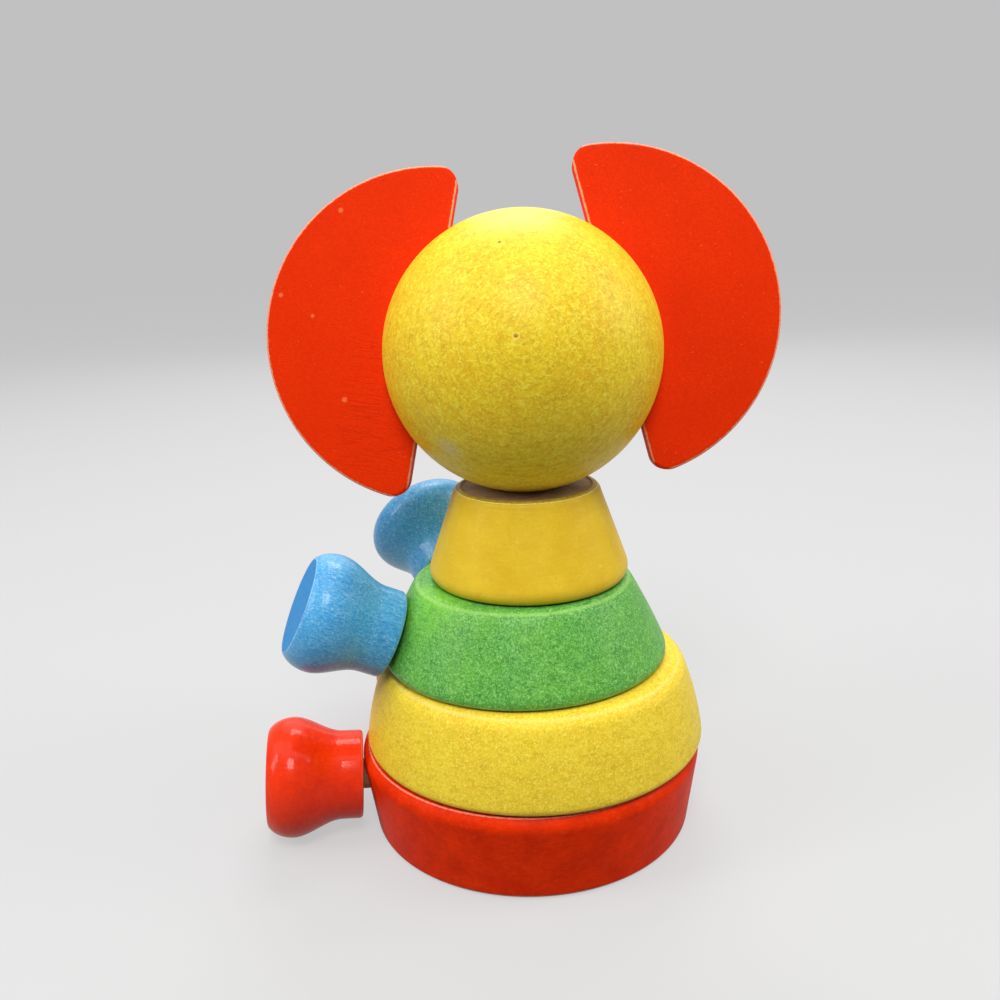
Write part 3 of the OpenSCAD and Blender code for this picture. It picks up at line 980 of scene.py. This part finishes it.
def make_ball():
    """The head's ball, with its bore, centre mark, ear slots and holes for trunk and eyes."""
    place = on_face(0, 0)
    hole_r = TRUNK_DOWEL_R + GLUE_GAP
    front = math.degrees(math.asin(hole_r / BALL_R))
    outline = arc(0, 0, BALL_R, -90, 90 - front, BALL_STEPS)
    outline[0] = (0, -BALL_R)
    outline += [(hole_r, BALL_R - TRUNK_DOWEL_DEPTH), (0, BALL_R - TRUNK_DOWEL_DEPTH)]
    piece = lathe("head_ball_look", outline, place)
    upright_ball = Matrix.Translation(BALL) @ Matrix.Scale(MM, 4)
    cutters = [rod_cutter(BORE_R, -BALL_R - CLEAR, ROD_IN_HEAD - BALL_R, upright_ball)]
    cutters.append(pinhole_cutter())
    half = EAR_T / 2 + GLUE_GAP
    for side, spot in EAR_PLACES.items():
        low = (-GLUE_GAP, -BALL_R - spot["slide"], -half)
        high = (BALL_R, BALL_R - spot["slide"], half)
        cutters.append(box_cutter(low, high, ear_place(side)))
    for eye_side in (EYE_SIDE, -EYE_SIDE):
        hole = (EYE_SPIGOT_R + GLUE_GAP, BALL_R - EYE_SPIGOT_L, BALL_R + CLEAR)
        cutters.append(rod_cutter(*hole, on_face(eye_side, EYE_UP)))
    cut(piece, cutters)
    finish_piece(piece, place, unworn, HEAD, "head", "head_ball")


def ear_ring(inset):
    """Outline of an ear drawn in by inset, from the lower end of its straight edge."""
    corner_y = math.sqrt((EAR_R - EAR_CORNER_R) ** 2 - EAR_CORNER_R**2)
    edge_turn = math.degrees(math.atan2(corner_y, EAR_CORNER_R))
    corner = EAR_CORNER_R - inset
    points = [(inset, -corner_y + 2 * corner_y * i / SIDE_STEPS) for i in range(SIDE_STEPS)]
    points += arc(EAR_CORNER_R, corner_y, corner, 180, edge_turn)
    points += arc(0, 0, EAR_R - inset, edge_turn, -edge_turn, EAR_ARC_STEPS)[1:-1]
    points += arc(EAR_CORNER_R, -corner_y, corner, -edge_turn, -180)[:-1]
    return points


def make_ear(side):
    """An ear, built of outlines from one flat face over its rounded rim to the other."""
    place = ear_place(side)
    half = EAR_T / 2
    layers = [(EAR_EDGE + more, half) for more in EAR_FACE_LINES]
    for i in range(EAR_RIM_STEPS + 1):
        a = math.radians(90 * i / EAR_RIM_STEPS)
        layers.append((EAR_EDGE * (1 - math.sin(a)), half - EAR_EDGE * (1 - math.cos(a))))
    layers += [(inset, -z) for inset, z in reversed(layers)]
    work = bmesh.new()
    rings = [[work.verts.new((x, y, z)) for x, y in ear_ring(inset)] for inset, z in layers]
    count = len(rings[0])
    for upper, lower in zip(rings, rings[1:]):
        for k in range(count):
            n = (k + 1) % count
            work.faces.new((upper[k], upper[n], lower[n], lower[k]))
    work.faces.new(rings[0])
    work.faces.new(rings[-1])
    bmesh.ops.recalc_face_normals(work, faces=work.faces)
    name = f"{side}_ear"
    piece = placed(f"{name}_look", work, place)
    finish_piece(piece, place, ear_wear, EAR_PAINTS[side], "head", name)


def make_trunk():
    """The trunk, hollowed to sit on the ball."""
    place = on_face(0, 0)
    seat = BALL_R + GLUE_GAP
    hole_r = TRUNK_DOWEL_R + GLUE_GAP
    outer = limb_side(TRUNK_L, TRUNK_NECK_R, TRUNK_END_R, TRUNK_FACE_R)
    outer = [(r, z + BALL_R) for r, z in outer if z > NECK_EDGE / 2]
    top = BALL_R + TRUNK_DOWEL_DEPTH
    end = BALL_R + TRUNK_L
    outline = [(0, top), (hole_r, top)] + hollow(seat, hole_r, TRUNK_NECK_R) + outer + [(0, end)]
    piece = lathe("trunk_look", outline, place)
    wear = near_corners([(TRUNK_FACE_R, end, WEAR["trunk_rim"])])
    finish_piece(piece, place, wear, CONE, "head", "trunk")


def make_trunk_dowel():
    """The dowel that holds the trunk."""
    place = on_face(0, 0)
    start, end, _ = reach("trunk_dowel", place)
    outline = [(0, start), (TRUNK_DOWEL_R, start), (TRUNK_DOWEL_R, end), (0, end)]
    piece = lathe("trunk_dowel_look", outline, place)
    finish_piece(piece, place, unworn, WOOD, "head", "trunk_dowel")


def make_eye(side, side_angle):
    """A domed eye on its spigot."""
    place = on_face(side_angle, EYE_UP)
    seat = BALL_R + GLUE_GAP
    base_z = BALL_R - EYE_SINK
    tall = EYE_RISE + EYE_SINK
    steps = 2 * ARC_STEPS
    dome = []
    for i in range(steps + 1):
        a = math.radians(90 * i / steps)
        r, z = EYE_R * math.cos(a), base_z + tall * math.sin(a)
        if math.hypot(r, z) > seat:
            dome.append((r, z))
    spigot_end = BALL_R - EYE_SPIGOT_L + EYE_SPIGOT_GAP
    outline = [(0, spigot_end), (EYE_SPIGOT_R, spigot_end)]
    outline += hollow(seat, EYE_SPIGOT_R, dome[0][0] - EYE_LIP) + dome[:-1] + [(0, base_z + tall)]
    piece = lathe(f"{side}_eye_look", outline, place)
    finish_piece(piece, place, unworn, BLACK, "head", f"{side}_eye")


# The photograph's frame stands on the row's origin and is turned about Z by VIEW_TURN.
# Its camera looks along +Y, at the back of the head: place in millimetres, angles in degrees
VIEW_TURN = 113.75
PHOTO_FRAME = Matrix.Rotation(math.radians(VIEW_TURN), 4, "Z")
CAMERA_PLACE = (0.6, -251.54, 158.55)
CAMERA_PAN = -1.475
CAMERA_TILT = 15.425
CAMERA_ROLL = -2.103
LENS = 36
SENSOR = 36
CLIP_START = 0.01


def make_camera():
    """The camera of the photograph."""
    pan, tilt = math.radians(CAMERA_PAN), math.radians(CAMERA_TILT)
    level_share = math.cos(tilt)
    forward = Vector((math.sin(pan) * level_share, math.cos(pan) * level_share, -math.sin(tilt)))
    level = forward.cross(Vector((0, 0, 1))).normalized()
    upward = level.cross(forward)
    turn = Matrix((level, upward, -forward)).transposed().to_4x4()
    roll = Matrix.Rotation(math.radians(CAMERA_ROLL), 4, "Z")
    camera = bpy.data.objects.new("camera", bpy.data.cameras.new("camera"))
    camera.data.sensor_width = SENSOR
    camera.data.lens = LENS
    camera.data.clip_start = CLIP_START
    camera.matrix_world = PHOTO_FRAME @ Matrix.Translation(Vector(CAMERA_PLACE) * MM) @ turn @ roll
    bpy.context.scene.collection.objects.link(camera)
    bpy.context.scene.camera = camera


# Point that the lamps are aimed at, in metres
LAMP_TARGET = (0, 0, 0.08)

# Soft lamps in the photograph's frame: name, place and size in metres, power in watts
LAMPS = [
    ("top_lamp", (0, -0.1, 0.85), (0.9, 0.5), 1.8),
    ("top_left_lamp", (-0.65, 0, 0.75), (0.5, 0.5), 1.2),
    ("top_right_lamp", (0.65, 0, 0.75), (0.5, 0.5), 1.1),
    ("front_lamp", (0, -0.66, 0.9), (0.36, 0.36), 6.3),
    ("left_lamp", (-0.85, -0.31, 0.62), (0.25, 0.5), 3.0),
    ("right_lamp", (0.9, 0, 0.55), (0.5, 0.5), 2.9),
    ("back_lamp", (0, 0.52, 0.82), (0.4, 0.3), 3.0),
    ("face_lamp", (0, 0.8, 0.62), (1.0, 0.8), 2.4),
]


def make_lamp(name, place, size, power):
    """A soft rectangular lamp at a place of the photograph's frame."""
    lamp = bpy.data.lights.new(name, "AREA")
    lamp.shape = "RECTANGLE"
    lamp.size, lamp.size_y = size
    lamp.energy = power
    aim = (Vector(LAMP_TARGET) - Vector(place)).to_track_quat("-Z", "Y").to_matrix().to_4x4()
    holder = bpy.data.objects.new(name, lamp)
    holder.matrix_world = PHOTO_FRAME @ Matrix.Translation(place) @ aim
    bpy.context.scene.collection.objects.link(holder)


# Radius of the floor in metres, the tone and the glow that the camera sees on it, the
# tone in which it throws light back, and the world's light on the object
FLOOR_R = 6.0
FLOOR_TONE = 0.2
FLOOR_GLOW = 0.5
BOUNCE_TONE = 0.2
AMBIENT = 0.16


def grey(tone):
    """A grey in the form that a colour socket takes."""
    return (tone, tone, tone, 1.0)


def seen_directly(tree):
    """1 for the rays that show a background: the camera's, reflected and transmitted ones."""
    rays = tree.nodes.new("ShaderNodeLightPath")
    total = rays.outputs["Is Camera Ray"]
    for kind in ("Is Glossy Ray", "Is Transmission Ray"):
        add = tree.nodes.new("ShaderNodeMath")
        add.operation = "ADD"
        add.use_clamp = True
        tree.links.new(total, add.inputs[0])
        tree.links.new(rays.outputs[kind], add.inputs[1])
        total = add.outputs[0]
    return total


def floor_paper():
    """Pale paper that keeps shadows, and glows only where it is seen as a background."""
    paper = bpy.data.materials.new("floor")
    paper.use_nodes = True
    tree = paper.node_tree
    tree.nodes.clear()
    shown = tree.nodes.new("ShaderNodeBsdfDiffuse")
    shown.inputs["Color"].default_value = grey(FLOOR_TONE)
    glow = tree.nodes.new("ShaderNodeEmission")
    glow.inputs["Color"].default_value = grey(FLOOR_GLOW)
    pale = tree.nodes.new("ShaderNodeAddShader")
    tree.links.new(shown.outputs["BSDF"], pale.inputs[0])
    tree.links.new(glow.outputs["Emission"], pale.inputs[1])
    thrown = tree.nodes.new("ShaderNodeBsdfDiffuse")
    thrown.inputs["Color"].default_value = grey(BOUNCE_TONE)
    both = tree.nodes.new("ShaderNodeMixShader")
    tree.links.new(seen_directly(tree), both.inputs["Fac"])
    tree.links.new(thrown.outputs["BSDF"], both.inputs[1])
    tree.links.new(pale.outputs["Shader"], both.inputs[2])
    surface = tree.nodes.new("ShaderNodeOutputMaterial").inputs["Surface"]
    tree.links.new(both.outputs["Shader"], surface)
    return paper


def make_floor():
    """A flat round floor under the object."""
    floor = lathe("floor", [(0, 0), (FLOOR_R, 0)], Matrix.Identity(4))
    floor.data.materials.append(floor_paper())


def make_world():
    """A world of the floor's tone, which throws less light on the object than it shows."""
    world = bpy.data.worlds.new("world")
    bpy.context.scene.world = world
    world.use_nodes = True
    tree = world.node_tree
    tone = tree.nodes.new("ShaderNodeMix")
    tone.data_type = "RGBA"
    tree.links.new(seen_directly(tree), tone.inputs[0])
    tone.inputs[6].default_value = grey(AMBIENT)
    tone.inputs[7].default_value = grey(FLOOR_GLOW + FLOOR_TONE * AMBIENT)
    tree.links.new(tone.outputs[2], tree.nodes["Background"].inputs["Color"])


make_camera()
make_floor()
make_world()
for lamp_settings in LAMPS:
    make_lamp(*lamp_settings)
bpy.context.scene.view_settings.view_transform = "Standard"

make_base()
make_rod()
make_ring("yellow_ring", YELLOW)
make_ring("green_ring", GREEN, [hole_cutter("left", "arm"), hole_cutter("right", "arm")])
make_cone()
make_ball()
make_trunk()
make_trunk_dowel()
make_eye("left", EYE_SIDE)
make_eye("right", -EYE_SIDE)
for hand in ("left", "right"):
    make_ear(hand)
    make_limb(hand, "foot", FOOT_RED)
    make_limb(hand, "arm", BLUE, BLUE_FACE)
    make_dowel(hand, "foot")
    make_dowel(hand, "arm")

bpy.context.view_layer.update()
